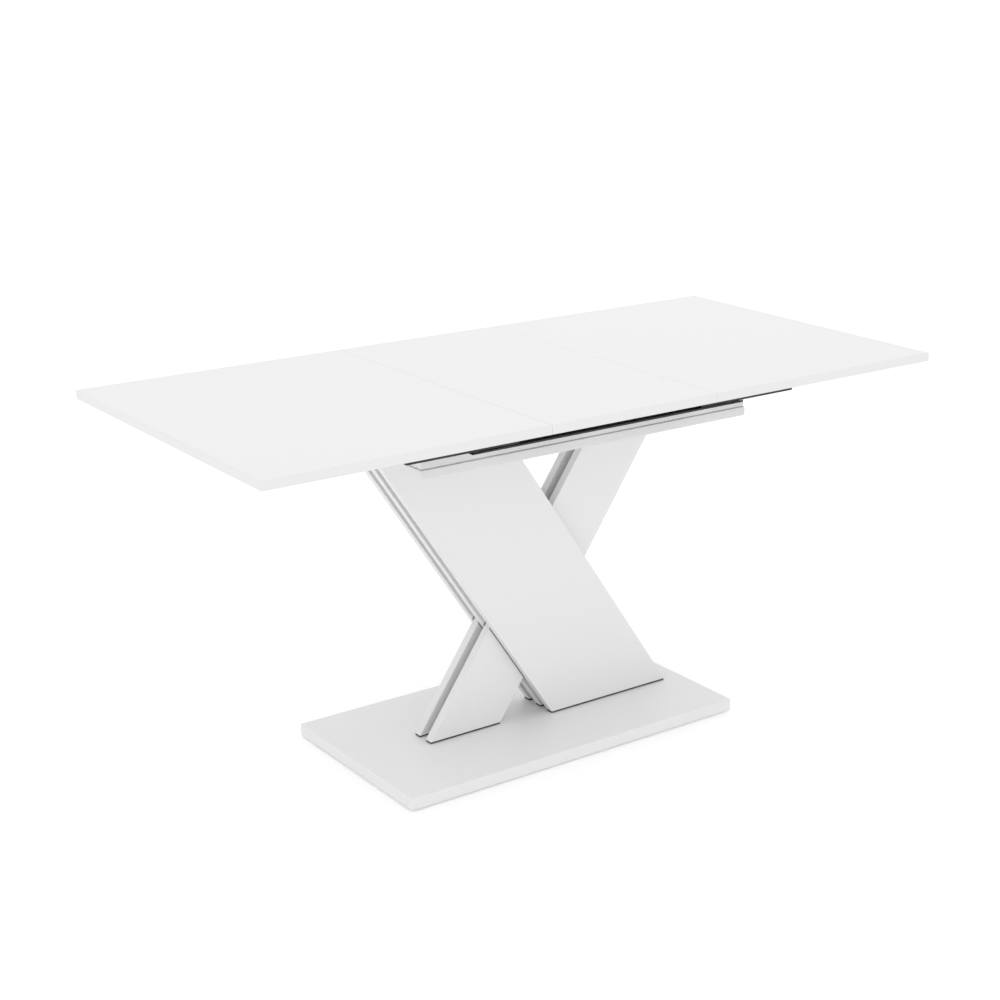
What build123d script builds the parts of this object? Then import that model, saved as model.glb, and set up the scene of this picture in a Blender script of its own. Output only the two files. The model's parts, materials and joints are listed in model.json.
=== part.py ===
from build123d import *
from math import cos, pi, radians, sin, tan
import os

os.makedirs("parts", exist_ok=True)

# Extendable dining table on a pedestal of crossed panels, drawn open with its insert leaf in place.
# X runs along the table, Y across it and Z up. The origin is on the floor, under the middle.
# A "side" is -1 for the front (-Y) and 1 for the rear. An "end" is -1 for the left (-X) and 1 for the right.

# Top
table_height = 770
top_width = 750
leaf_length = 600
insert_length = 400
board = 18  # thickness of the top's and the deck's boards
edging = 1  # thickness of the edge bands
seam = insert_length / 2  # X of both seams while the table is open
seam_gap = 0.15
top_low = table_height - board

# Pedestal
base_length = 815
base_width = 425
base_board = 25
glide = 3
base_top = glide + base_board
foot_strip = 4  # strips that the panels stand on, which leave a shadow gap above the plate
strip_inset = 0.5
panel_low = base_top + foot_strip
lean = radians(34.5)  # of the panels, from the vertical
wide_panel = 255  # width of a wide panel, square to its length
narrow_panel = 143.5
wide_foot = 205  # X of a wide panel's middle, at the foot
narrow_foot = -156
panel_board = 19
pitch = 20.1  # the panels stand in layers along Y, with a narrow gap between each two
wide_layers = (-2, 0, 2)
narrow_layers = (-1, 1)

# Deck board on the panels, and the box frame that stands on it
under_frame = 82
deck_low = top_low - under_frame
deck_top = deck_low + board
deck_length = 797
deck_middle = -7.5  # the deck and its frame reach a little further left than right
deck_width = 500
frame_inset = 2
rebate = 2  # shadow groove along the foot of the box frame
frame_length = deck_length - 2 * frame_inset
frame_width = deck_width - 2 * frame_inset
side_rail = 16
end_rail = 12
pad = 3  # glide pads between the rails and the sliding top
rail_top = top_low - pad
rail_inner = frame_width / 2 - side_rail
end_inner = frame_length / 2 - end_rail

# Slides: C-shaped channels on the frame, and hooked runners under the leaves
channel_start = -327  # ends of the front channel; the rear one is turned half round
channel_end = 334
end_notch = 16  # the outer lip is cut back this far at one end
slot_middle = 304  # and has a slot near the other
slot_length = 11
channel_outer = 305  # distance of its outer face from the middle of the table
channel_back = 287
channel_low = 717.5
channel_top = 745
channel_wall = 2
lip_height = 4.3
top_flange = 10
runner_start = 223  # distances along X while the table is open
runner_end = 470
runner_low = 722.5
runner_wall = 3
runner_flange = 20  # flat part under the leaf
hook_wall = 2  # the foot of a runner turns back up inside the channel
hook_reach = 13
hook_rise = 13.5
bearer_spots = (-280, 0, 280)
bearer_length = 60
slide_screws = (245, 345, 450)
slider_spots = (240, 308)
slider_length = 30

# Rack and pinion that keeps the two leaves in step
gear_module = 2
pinion_teeth = 20
pinion_pitch = gear_module * pinion_teeth / 2
tooth_pitch = pi * gear_module
backlash = 0.1
gear_low = 728
gear_width = 12
gear_top = gear_low + gear_width
rack_far = 350
rack_near = -30
rack_back = 34
rack_mount_near = 215
rack_screws = (240, 330)
rack_screw_line = 28
rack_mount_width = 11
crossbar_top = 725
crossbar_board = 10
crossbar_width = 60
axle_radius = 4

# Fasteners: radii and lengths
pin_radius = 4
pin_length = 32
pin_out = 12  # how far a seam pin stands out
pin_spots = (-250, 0, 250)
dowel_radius = 4
dowel_length = 30
dowel_half = dowel_length / 2
dowel_drop = 20  # how far the deck's dowels reach down into the panels
bolt_radius = 3
bolt_head = 2
bolt_head_radius = 7.5
spacer_proud = 1.2
insert_nut_radius = 5
insert_nut_length = 13
bolt_spots = ((-40, 0), (40, 0), (0, -70), (0, 70))
wood_screw = 2
nail = 1.5  # radius of the nails of the glides and pads
glide_nail = 12
pad_nail = 10
glide_radius = 15
pad_radius = 6
confirmat = 3.5

base_align = (Align.CENTER, Align.CENTER, Align.MIN)


def keep(piece, name):
    piece.part.label = name
    export_step(piece.part, f"parts/{name}.step")


def pegs(plane, spots, radius, length, mode=Mode.ADD):
    # Round pegs that stand on the plane at each spot, or the holes for them
    with Locations(plane):
        with Locations(*spots):
            Cylinder(radius, length, align=base_align, mode=mode)


def sunk_screws(plane, spots, radius, length, mode=Mode.ADD):
    # Countersunk screws that go in at the plane along its normal, or the holes for them
    head = radius * 1.6
    with Locations(plane):
        with Locations(*spots):
            Cylinder(radius, length, align=base_align, mode=mode)
            Cone(head, radius, radius, align=base_align, mode=mode)


def pan_screws(plane, spots, radius, length, head_height=2):
    # Pan-head screws that go in at the plane along its normal, with the heads behind it
    pegs(plane, spots, radius, length)
    pegs(plane.offset(-head_height), spots, radius * 1.5, head_height)


def across(side, distance):
    # A plane that faces away from the middle, with X along the table and Y up
    return Plane(origin=(0, side * distance, 0), x_dir=(-side, 0, 0), z_dir=(0, side, 0))


def facing(side, distance):
    # The same plane turned to face the middle
    return Plane(origin=(0, side * distance, 0), x_dir=(side, 0, 0), z_dir=(0, -side, 0))


def block(x, y, z, size):
    # A block that stands at z, centred on x and y
    with Locations((x, y, z)):
        Box(*size, align=base_align)


def board_core(middle, length, width, low, thick):
    with Locations((middle, 0, low)):
        Box(length - 2 * edging, width - 2 * edging, thick, align=base_align)


def edge_band(middle, length, width, low, thick):
    board_ring = (length - 2 * edging, width - 2 * edging)
    with Locations((middle, 0, low)):
        Box(length, width, thick, align=base_align)
        Box(*board_ring, thick, align=base_align, mode=Mode.SUBTRACT)


def both_sides(distance, along):
    return [(x, side * distance) for x in along for side in (-1, 1)]


# Where the fasteners go, on the plane of each board
panel_rise = deck_low - panel_low
lean_shift = panel_rise * tan(lean)
wide_head = wide_foot - lean_shift  # X of a wide panel's middle, under the deck
narrow_head = narrow_foot + lean_shift
cross_rise = (wide_foot - narrow_foot) / (2 * tan(lean))
cross_x = wide_foot - cross_rise * tan(lean)
cross_z = panel_low + cross_rise
wide_y = [layer * pitch for layer in wide_layers]
narrow_y = [layer * pitch for layer in narrow_layers]


def foot_spots(wide_offsets, narrow_offsets):
    wide = [(wide_foot - 10 + dx, y) for dx in wide_offsets for y in wide_y]
    return wide + [(narrow_foot + 10 + dx, y) for dx in narrow_offsets for y in narrow_y]


def head_spots(wide_offsets, narrow_offsets):
    wide = [(wide_head + 10 + dx, y) for dx in wide_offsets for y in wide_y]
    return wide + [(narrow_head - 10 + dx, y) for dx in narrow_offsets for y in narrow_y]


base_screw_spots = foot_spots((-80, 80), (-40, 40))
base_dowel_spots = foot_spots((-40, 40), (0,))
deck_screw_spots = head_spots((-80, 80), (-40, 40))
deck_dowel_spots = head_spots((-40, 40), (0,))
base_screw_length = 59
deck_screw_length = 48
end_middles = [deck_middle + end * (end_inner + end_rail / 2) for end in (-1, 1)]
frame_screw_spots = both_sides(rail_inner + side_rail / 2, (-330, -110, 110, 330))
frame_screw_spots += [(x, y) for x in end_middles for y in (-120, 120)]
frame_screw_length = 43
frame_screw_bite = frame_screw_length - board
pad_spots = both_sides(rail_inner + side_rail / 2, (-300, -100, 100, 300))
glide_spots = both_sides(185, (-380, 0, 380))

# Base plate, its edge band and the glides that it stands on
with BuildPart() as base_plate:
    board_core(0, base_length, base_width, glide, base_board)
    sunk_screws(Plane.XY.offset(glide), base_screw_spots, confirmat, base_screw_length, Mode.SUBTRACT)
    pegs(Plane.XY.offset(base_top - dowel_half), base_dowel_spots, dowel_radius, dowel_half, Mode.SUBTRACT)
    pegs(Plane.XY.offset(glide), glide_spots, nail, glide_nail, Mode.SUBTRACT)
keep(base_plate, "base_plate")

with BuildPart() as base_plate_edging:
    edge_band(0, base_length, base_width, glide, base_board)
keep(base_plate_edging, "base_plate_edging")

with BuildPart() as base_glides:
    pegs(Plane.XY, glide_spots, glide_radius, glide)
    pegs(Plane.XY.offset(glide), glide_spots, nail, glide_nail)
keep(base_glides, "base_glides")


# Crossed panels of the pedestal. Each one is a parallelogram, cut level at the foot and at the head.
def panel_outline(foot, head, half):
    return Polyline(
        (foot - half, panel_low),
        (foot + half, panel_low),
        (head + half, deck_low),
        (head - half, deck_low),
        close=True,
    )


def cross_panel(layer, foot, head, width):
    half = (width / 2 - edging) / cos(lean)
    with BuildPart() as panel:
        with BuildSketch(Plane.XZ.offset(-layer * pitch - panel_board / 2)):
            with BuildLine():
                panel_outline(foot, head, half)
            make_face()
        extrude(amount=panel_board)
        deck_screw_plane = Plane.XY.offset(deck_low - deck_screw_length + board)
        dowel_foot_plane = Plane.XY.offset(deck_low - dowel_drop)
        foot_screw_length = base_screw_length - base_board - foot_strip
        foot_dowel_length = dowel_half - foot_strip
        pegs(Plane.XY.offset(panel_low), base_screw_spots, confirmat, foot_screw_length, Mode.SUBTRACT)
        pegs(Plane.XY.offset(panel_low), base_dowel_spots, dowel_radius, foot_dowel_length, Mode.SUBTRACT)
        pegs(deck_screw_plane, deck_screw_spots, wood_screw, deck_screw_length - board, Mode.SUBTRACT)
        pegs(dowel_foot_plane, deck_dowel_spots, dowel_radius, dowel_drop, Mode.SUBTRACT)
        if layer == wide_layers[0]:
            pegs(nut_plane, bolt_spots, insert_nut_radius, insert_nut_length, Mode.SUBTRACT)
        else:
            pegs(bolt_plane, bolt_spots, bolt_radius, bolt_length, Mode.SUBTRACT)
    return panel


def panel_bands(layers, foot, head, width):
    # Two bands on each panel, along its sloping edges
    half = width / 2 / cos(lean)
    inner = (width / 2 - edging) / cos(lean)
    with BuildPart() as bands:
        for layer in layers:
            with BuildSketch(Plane.XZ.offset(-layer * pitch - panel_board / 2)):
                with BuildLine():
                    panel_outline(foot, head, half)
                make_face()
                with BuildLine():
                    panel_outline(foot, head, inner)
                make_face(mode=Mode.SUBTRACT)
            extrude(amount=panel_board)
    return bands


# The bolts go in from the rear through every layer, into nuts in the back of the front panel
stack_half = 2 * pitch + panel_board / 2
bolt_end = 42
bolt_length = stack_half + bolt_end
bolt_plane = Plane(origin=(cross_x, stack_half, cross_z), x_dir=(1, 0, 0), z_dir=(0, -1, 0))
nut_plane = bolt_plane.offset(4 * pitch)

for label, layer in zip(("front", "middle", "rear"), wide_layers):
    keep(cross_panel(layer, wide_foot, wide_head, wide_panel), f"wide_panel_{label}")
keep(panel_bands(wide_layers, wide_foot, wide_head, wide_panel), "wide_panel_edging")

for label, layer in zip(("front", "rear"), narrow_layers):
    keep(cross_panel(layer, narrow_foot, narrow_head, narrow_panel), f"narrow_panel_{label}")
keep(panel_bands(narrow_layers, narrow_foot, narrow_head, narrow_panel), "narrow_panel_edging")

with BuildPart() as crossing_bolts:
    pegs(bolt_plane, bolt_spots, bolt_radius, bolt_length)
    pegs(bolt_plane.offset(-bolt_head), bolt_spots, bolt_head_radius, bolt_head)
keep(crossing_bolts, "crossing_bolts")

# Thin sheets between the layers, cut a little larger than the area where the panels cross
with BuildPart() as crossing_spacers:
    for gap in range(1, len(wide_layers) + len(narrow_layers)):
        with BuildSketch(Plane.XZ.offset(stack_half - gap * pitch)):
            with BuildLine():
                panel_outline(wide_foot, wide_head, (wide_panel / 2 + spacer_proud) / cos(lean))
            make_face()
            with BuildSketch(mode=Mode.INTERSECT):
                with BuildLine():
                    panel_outline(narrow_foot, narrow_head, (narrow_panel / 2 + spacer_proud) / cos(lean))
                make_face()
        extrude(amount=pitch - panel_board)
    pegs(bolt_plane, bolt_spots, bolt_radius, bolt_length, Mode.SUBTRACT)
keep(crossing_spacers, "crossing_spacers")

with BuildPart() as crossing_nuts:
    pegs(nut_plane, bolt_spots, insert_nut_radius, insert_nut_length)
    pegs(nut_plane, bolt_spots, bolt_radius, insert_nut_length - 1, Mode.SUBTRACT)
keep(crossing_nuts, "crossing_nuts")

# Strips under the panels
with BuildPart() as foot_strips:
    for rows, foot, width in ((wide_y, wide_foot, wide_panel), (narrow_y, narrow_foot, narrow_panel)):
        for y in rows:
            length = width / cos(lean) - 2 * strip_inset
            block(foot, y, base_top, (length, board - 2 * strip_inset, foot_strip))
    pegs(Plane.XY.offset(base_top), base_screw_spots, confirmat, foot_strip, Mode.SUBTRACT)
    pegs(Plane.XY.offset(base_top), base_dowel_spots, dowel_radius, foot_strip, Mode.SUBTRACT)
keep(foot_strips, "foot_strips")

with BuildPart() as base_screws:
    sunk_screws(Plane.XY.offset(glide), base_screw_spots, confirmat, base_screw_length)
keep(base_screws, "base_screws")

with BuildPart() as base_dowels:
    pegs(Plane.XY.offset(base_top - dowel_half), base_dowel_spots, dowel_radius, dowel_length)
keep(base_dowels, "base_dowels")

# Deck board, screwed down onto the panels
down = Plane(origin=(0, 0, deck_top), x_dir=(1, 0, 0), z_dir=(0, 0, -1))
deck_screw_mirror = [(x, -y) for x, y in deck_screw_spots]

with BuildPart() as deck_board:
    board_core(deck_middle, deck_length, deck_width, deck_low, board)
    sunk_screws(down, deck_screw_mirror, wood_screw, board, Mode.SUBTRACT)
    pegs(Plane.XY.offset(deck_low), deck_dowel_spots, dowel_radius, dowel_length - dowel_drop, Mode.SUBTRACT)
    sunk_screws(Plane.XY.offset(deck_low), frame_screw_spots, wood_screw, board, Mode.SUBTRACT)
keep(deck_board, "deck_board")

with BuildPart() as deck_edging:
    edge_band(deck_middle, deck_length, deck_width, deck_low, board)
keep(deck_edging, "deck_edging")

with BuildPart() as deck_screws:
    sunk_screws(down, deck_screw_mirror, wood_screw, deck_screw_length)
keep(deck_screws, "deck_screws")

with BuildPart() as deck_dowels:
    pegs(Plane.XY.offset(deck_low - dowel_drop), deck_dowel_spots, dowel_radius, dowel_length)
keep(deck_dowels, "deck_dowels")

# Box frame on the deck
rail_height = rail_top - deck_top
bearer_z = 733  # height of the screws through the side rails into the bearers
bearer_screw_spots = [(x + dx, bearer_z) for x in bearer_spots for dx in (-18, 18)]
cleat_screw_z = 705
cleat_screw_spots = [(x, cleat_screw_z) for x in (-8, 8)]
cleat_screw_bite = 10
bearer_screw_length = 38
cleat = 20


def cut_rebate():
    # A groove round the outside of the frame, where it stands on the deck
    with BuildPart(mode=Mode.PRIVATE) as groove:
        with Locations((deck_middle, 0, deck_top)):
            Box(frame_length + 10, frame_width + 10, rebate, align=base_align)
            inner = (frame_length - 2 * rebate, frame_width - 2 * rebate)
            Box(*inner, rebate, align=base_align, mode=Mode.SUBTRACT)
    add(groove.part, mode=Mode.SUBTRACT)


def side_rail_part(side):
    middle = side * (rail_inner + side_rail / 2)
    with BuildPart() as rail:
        block(deck_middle, middle, deck_top, (frame_length, side_rail, rail_height))
        cut_rebate()
        pegs(Plane.XY.offset(deck_top), frame_screw_spots, wood_screw, frame_screw_bite, Mode.SUBTRACT)
        pegs(Plane.XY.offset(rail_top - pad_nail), pad_spots, nail, pad_nail, Mode.SUBTRACT)
        pegs(across(side, rail_inner), bearer_screw_spots, wood_screw, side_rail, Mode.SUBTRACT)
        pegs(across(side, rail_inner), cleat_screw_spots, wood_screw, cleat_screw_bite, Mode.SUBTRACT)
    return rail


keep(side_rail_part(-1), "frame_rail_front")
keep(side_rail_part(1), "frame_rail_rear")

for label, middle in zip(("left", "right"), end_middles):
    with BuildPart() as rail:
        block(middle, 0, deck_top, (end_rail, 2 * rail_inner, rail_height))
        cut_rebate()
        pegs(Plane.XY.offset(deck_top), frame_screw_spots, wood_screw, frame_screw_bite, Mode.SUBTRACT)
    keep(rail, f"frame_rail_{label}")

with BuildPart() as frame_screws:
    sunk_screws(Plane.XY.offset(deck_low), frame_screw_spots, wood_screw, frame_screw_length)
keep(frame_screws, "frame_screws")

corner_leg = 45
corner_height = 50
with BuildPart() as frame_corner_blocks:
    with BuildSketch(Plane.XY.offset(deck_top)):
        for end in (-1, 1):
            for side in (-1, 1):
                x, y = deck_middle + end * end_inner, side * rail_inner
                with BuildLine():
                    Polyline((x, y), (x - end * corner_leg, y), (x, y - side * corner_leg), close=True)
                make_face()
    extrude(amount=corner_height)
keep(frame_corner_blocks, "frame_corner_blocks")

with BuildPart() as glide_pads:
    pegs(Plane.XY.offset(rail_top), pad_spots, pad_radius, pad)
    pegs(Plane.XY.offset(rail_top - pad_nail), pad_spots, nail, pad_nail)
keep(glide_pads, "glide_pads")

# Bearer blocks, which hold the channels out from the frame
bearer_depth = channel_back - frame_width / 2
bearer_low = 722
bearer_height = channel_top - bearer_low
channel_screw_z = 732
channel_screw_spots = [(x, channel_screw_z) for x in bearer_spots]
channel_screw_length = 23

with BuildPart() as slide_bearers:
    for side in (-1, 1):
        for x in bearer_spots:
            middle = side * (channel_back - bearer_depth / 2)
            block(x, middle, bearer_low, (bearer_length, bearer_depth, bearer_height))
    screw_hole = channel_screw_length - channel_wall
    for side in (-1, 1):
        pegs(across(side, rail_inner), bearer_screw_spots, wood_screw, bearer_screw_length, Mode.SUBTRACT)
        pegs(facing(side, channel_back), channel_screw_spots, wood_screw, screw_hole, Mode.SUBTRACT)
keep(slide_bearers, "slide_bearers")

with BuildPart() as bearer_screws:
    for side in (-1, 1):
        pan_screws(across(side, rail_inner), bearer_screw_spots, wood_screw, bearer_screw_length)
keep(bearer_screws, "bearer_screws")


def channel_part(side):
    # A C-shaped channel that opens outwards, with a low outer lip that is cut back and slotted
    inner = channel_back + channel_wall
    profile = (
        (channel_outer, channel_low),
        (channel_outer, channel_low + lip_height),
        (channel_outer - channel_wall, channel_low + lip_height),
        (channel_outer - channel_wall, channel_low + channel_wall),
        (inner, channel_low + channel_wall),
        (inner, channel_top - channel_wall),
        (inner + top_flange, channel_top - channel_wall),
        (inner + top_flange, channel_top),
        (channel_back, channel_top),
        (channel_back, channel_low),
    )
    with BuildPart() as channel:
        with BuildSketch(Plane.YZ.offset(min(-side * channel_start, -side * channel_end))):
            with BuildLine():
                Polyline(*[(side * d, z) for d, z in profile], close=True)
            make_face()
        extrude(amount=channel_end - channel_start)
        for x, length in ((channel_start + end_notch / 2, end_notch), (slot_middle, slot_length)):
            with Locations((-side * x, side * (channel_outer - channel_wall / 2), channel_low)):
                Box(length, channel_wall, lip_height, align=base_align, mode=Mode.SUBTRACT)
        pegs(facing(side, inner), channel_screw_spots, wood_screw, channel_wall, Mode.SUBTRACT)
    return channel


keep(channel_part(-1), "slide_channel_front")
keep(channel_part(1), "slide_channel_rear")

with BuildPart() as channel_screws:
    for side in (-1, 1):
        floor_plane = facing(side, channel_back + channel_wall)
        pan_screws(floor_plane, channel_screw_spots, wood_screw, channel_screw_length)
keep(channel_screws, "channel_screws")

# Crossbar that carries the pinion, on cleats screwed to the side rails
crossbar_low = crossbar_top - crossbar_board
cleat_y = rail_inner - cleat / 2
crossbar_screw_spots = both_sides(cleat_y, (-18, 18))
crossbar_screw_length = 27
screw_end = crossbar_top - crossbar_screw_length

with BuildPart() as sync_crossbar:
    block(0, 0, crossbar_low, (crossbar_width, 2 * rail_inner, crossbar_board))
    pegs(Plane.XY.offset(crossbar_low), crossbar_screw_spots, wood_screw, crossbar_board, Mode.SUBTRACT)
    pegs(Plane.XY.offset(crossbar_low), [(0, 0)], axle_radius, crossbar_board, Mode.SUBTRACT)
keep(sync_crossbar, "sync_crossbar")

with BuildPart() as crossbar_cleats:
    for side in (-1, 1):
        block(0, side * cleat_y, crossbar_low - cleat, (crossbar_width, cleat, cleat))
    for side in (-1, 1):
        pegs(across(side, rail_inner - cleat), cleat_screw_spots, wood_screw, cleat, Mode.SUBTRACT)
    pegs(Plane.XY.offset(screw_end), crossbar_screw_spots, wood_screw, crossbar_screw_length, Mode.SUBTRACT)
keep(crossbar_cleats, "crossbar_cleats")

with BuildPart() as crossbar_screws:
    pegs(Plane.XY.offset(screw_end), crossbar_screw_spots, wood_screw, crossbar_screw_length)
    pegs(Plane.XY.offset(crossbar_top), crossbar_screw_spots, wood_screw * 1.5, 2)
    for side in (-1, 1):
        pan_screws(across(side, rail_inner - cleat), cleat_screw_spots, wood_screw, cleat + cleat_screw_bite)
keep(crossbar_screws, "crossbar_screws")

with BuildPart() as pinion_axle:
    pegs(Plane.XY.offset(crossbar_low), [(0, 0)], axle_radius, gear_top + 4 - crossbar_low)
keep(pinion_axle, "pinion_axle")

with BuildPart() as pinion_washers:
    for low, thick, radius in ((crossbar_top, 2.8, 8), (gear_top + 0.2, 1.2, 6.5)):
        pegs(Plane.XY.offset(low), [(0, 0)], radius, thick)
        pegs(Plane.XY.offset(low), [(0, 0)], axle_radius, thick, Mode.SUBTRACT)
keep(pinion_washers, "pinion_washers")

guide_gap = 0.1
guide_length = 50
guide_width = 10
with BuildPart() as rack_guides:
    # Each guide is an L: a tall rib behind the rack and a low one beneath it
    tall = (guide_length, guide_width, gear_top - crossbar_top)
    low = (guide_length, guide_width, gear_low - guide_gap - crossbar_top)
    for side in (-1, 1):
        block(0, side * (rack_back + guide_gap + guide_width / 2), crossbar_top, tall)
        block(0, side * (rack_back + guide_gap - guide_width / 2), crossbar_top, low)
keep(rack_guides, "rack_guides")

# Pinion, with flanks drawn as arcs through the root, the pitch circle and the tip
half_tooth = tooth_pitch / 4 - backlash
pressure = tan(radians(20))
root = pinion_pitch - 1.25 * gear_module
tip = pinion_pitch + gear_module
foot_spread = 0.2  # how much a half tooth grows from the pitch circle to the root
crest_taper = 0.88  # how much it narrows to the tip


def flank(radius, half, hand):
    return (radius * cos(half / radius * hand), radius * sin(half / radius * hand))


with BuildPart() as sync_pinion:
    with BuildSketch(Plane.XY.offset(gear_low)):
        Circle(root)
        with BuildSketch(mode=Mode.PRIVATE) as tooth:
            with BuildLine():
                for hand in (-1, 1):
                    foot = flank(root, half_tooth + foot_spread, hand)
                    crest = flank(tip, half_tooth - crest_taper, hand)
                    ThreePointArc(foot, flank(pinion_pitch, half_tooth, hand), crest)
                    Line((root - 1, hand * half_tooth), foot)
                Line(flank(tip, half_tooth - crest_taper, -1), flank(tip, half_tooth - crest_taper, 1))
                Line((root - 1, -half_tooth), (root - 1, half_tooth))
            make_face()
        with PolarLocations(0, pinion_teeth):
            add(tooth.sketch)
    extrude(amount=gear_width)
    pegs(Plane.XY.offset(gear_low), [(0, 0)], axle_radius + 0.05, gear_width, Mode.SUBTRACT)
keep(sync_pinion, "sync_pinion")


# Racks. The left leaf's rack runs in front of the pinion and the right leaf's behind it.
rack_pitch_line = pinion_pitch + 0.1
rack_root = rack_pitch_line + 1.25 * gear_module
rack_tip = rack_pitch_line - gear_module
rack_bar = rack_back - rack_root
rack_length = rack_far - rack_near
first_tooth = 3.5  # a gap between two teeth faces the pinion's axis
tooth_count = 42


def rack_part(end):
    root_half = half_tooth + (rack_root - rack_pitch_line) * pressure
    tip_half = half_tooth - (rack_pitch_line - rack_tip) * pressure
    with BuildPart() as rack:
        with BuildSketch(Plane.XY.offset(gear_low)):
            with Locations((end * (rack_far - rack_length / 2), end * (rack_back - rack_bar / 2))):
                Rectangle(rack_length, rack_bar)
            for number in range(tooth_count):
                middle = (first_tooth - number) * tooth_pitch
                with BuildLine():
                    Polyline(
                        (-end * (middle - root_half), end * (rack_root + 0.5)),
                        (-end * (middle - root_half), end * rack_root),
                        (-end * (middle - tip_half), end * rack_tip),
                        (-end * (middle + tip_half), end * rack_tip),
                        (-end * (middle + root_half), end * rack_root),
                        (-end * (middle + root_half), end * (rack_root + 0.5)),
                        close=True,
                    )
                make_face()
        extrude(amount=gear_width)
        spots = [(end * x, end * rack_screw_line) for x in rack_screws]
        pegs(Plane.XY.offset(gear_low), spots, wood_screw, gear_width, Mode.SUBTRACT)
    return rack


# Each leaf, with its edge band, runners, slider pads, rack and screws
def runner_part(end, side):
    profile = (
        (channel_outer, runner_low),
        (channel_outer, top_low),
        (channel_outer - runner_flange, top_low),
        (channel_outer - runner_flange, top_low - runner_wall),
        (channel_outer - runner_wall, top_low - runner_wall),
        (channel_outer - runner_wall, runner_low + hook_wall),
        (channel_outer - hook_reach + hook_wall, runner_low + hook_wall),
        (channel_outer - hook_reach + hook_wall, runner_low + hook_rise),
        (channel_outer - hook_reach, runner_low + hook_rise),
        (channel_outer - hook_reach, runner_low),
    )
    start = min(end * runner_start, end * runner_end)
    with BuildPart() as runner:
        with BuildSketch(Plane.YZ.offset(start)):
            with BuildLine():
                Polyline(*[(side * d, z) for d, z in profile], close=True)
            make_face()
        extrude(amount=runner_end - runner_start)
        spots = [(end * x, side * runner_screw_line) for x in slide_screws]
        pegs(Plane.XY.offset(top_low - runner_wall), spots, wood_screw, runner_wall, Mode.SUBTRACT)
    return runner


runner_screw_line = channel_outer - 14
runner_hook_top = runner_low + hook_rise
slider_clearance = 0.1
low_slider_y = 296.75
high_slider_y = 295
leaf_middle = seam + leaf_length / 2
screw_bite = 13
pin_z = top_low + board / 2
pin_hole = 14
pin_clearance = 0.2
pin_grid = [(y, pin_z) for y in pin_spots]


def leaf_holes(end):
    runner_spots = [(end * x, side * runner_screw_line) for x in slide_screws for side in (-1, 1)]
    rack_spots = [(end * x, end * rack_screw_line) for x in rack_screws]
    pegs(Plane.XY.offset(top_low), runner_spots + rack_spots, wood_screw, screw_bite, Mode.SUBTRACT)
    seam_holes(end)


def seam_holes(end):
    # Pin holes in the left leaf's seam edge, and the seats of the pins in the right leaf's
    if end < 0:
        pegs(Plane.YZ.offset(-seam - pin_hole), pin_grid, pin_radius + pin_clearance, pin_hole, Mode.SUBTRACT)
    else:
        pegs(Plane.YZ.offset(seam), pin_grid, pin_radius, pin_length - pin_out, Mode.SUBTRACT)


for label, end in (("left", -1), ("right", 1)):
    with BuildPart() as leaf_board:
        board_core(end * leaf_middle, leaf_length, top_width, top_low, board)
        leaf_holes(end)
    keep(leaf_board, f"{label}_leaf_board")

    with BuildPart() as leaf_edging:
        edge_band(end * leaf_middle, leaf_length, top_width, top_low, board)
        seam_holes(end)
    keep(leaf_edging, f"{label}_leaf_edging")

    keep(runner_part(end, -1), f"{label}_runner_front")
    keep(runner_part(end, 1), f"{label}_runner_rear")

    with BuildPart() as leaf_sliders:
        low_pad = (slider_length, 9.5, runner_low - channel_low - channel_wall - slider_clearance)
        high_pad = (slider_length, 6, channel_top - channel_wall - slider_clearance - runner_hook_top)
        for side in (-1, 1):
            for x in slider_spots:
                block(end * x, side * low_slider_y, runner_low - low_pad[2], low_pad)
                block(end * x, side * high_slider_y, runner_hook_top, high_pad)
    keep(leaf_sliders, f"{label}_leaf_sliders")

    keep(rack_part(end), f"{label}_rack")

    mount_length = rack_far - rack_mount_near
    with BuildPart() as rack_mount:
        middle = end * (rack_far - mount_length / 2)
        mount_size = (mount_length, rack_mount_width, top_low - gear_top)
        block(middle, end * (rack_back - rack_mount_width / 2), gear_top, mount_size)
        spots = [(end * x, end * rack_screw_line) for x in rack_screws]
        pegs(Plane.XY.offset(gear_top), spots, wood_screw, top_low - gear_top, Mode.SUBTRACT)
    keep(rack_mount, f"{label}_rack_mount")

    with BuildPart() as leaf_screws:
        spots = [(end * x, side * runner_screw_line) for x in slide_screws for side in (-1, 1)]
        pan_screws(Plane.XY.offset(top_low - runner_wall), spots, wood_screw, runner_wall + screw_bite)
        spots = [(end * x, end * rack_screw_line) for x in rack_screws]
        pan_screws(Plane.XY.offset(gear_low), spots, wood_screw, top_low + screw_bite - gear_low)
    keep(leaf_screws, f"{label}_leaf_screws")

with BuildPart() as right_leaf_pins:
    pegs(Plane.YZ.offset(seam - pin_out), pin_grid, pin_radius, pin_length)
keep(right_leaf_pins, "right_leaf_pins")


# Insert leaf, with pins in its left edge and pin holes in its right one
insert_board_length = insert_length - 2 * seam_gap


def insert_holes():
    pegs(Plane.YZ.offset(seam - pin_hole), pin_grid, pin_radius + pin_clearance, pin_hole, Mode.SUBTRACT)
    pegs(Plane.YZ.offset(-seam), pin_grid, pin_radius, pin_length - pin_out, Mode.SUBTRACT)


with BuildPart() as insert_board:
    board_core(0, insert_board_length, top_width, top_low, board)
    insert_holes()
keep(insert_board, "insert_board")

with BuildPart() as insert_edging:
    edge_band(0, insert_board_length, top_width, top_low, board)
    insert_holes()
keep(insert_edging, "insert_edging")

with BuildPart() as insert_pins:
    pegs(Plane.YZ.offset(-seam - pin_out), pin_grid, pin_radius, pin_length)
keep(insert_pins, "insert_pins")
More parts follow.
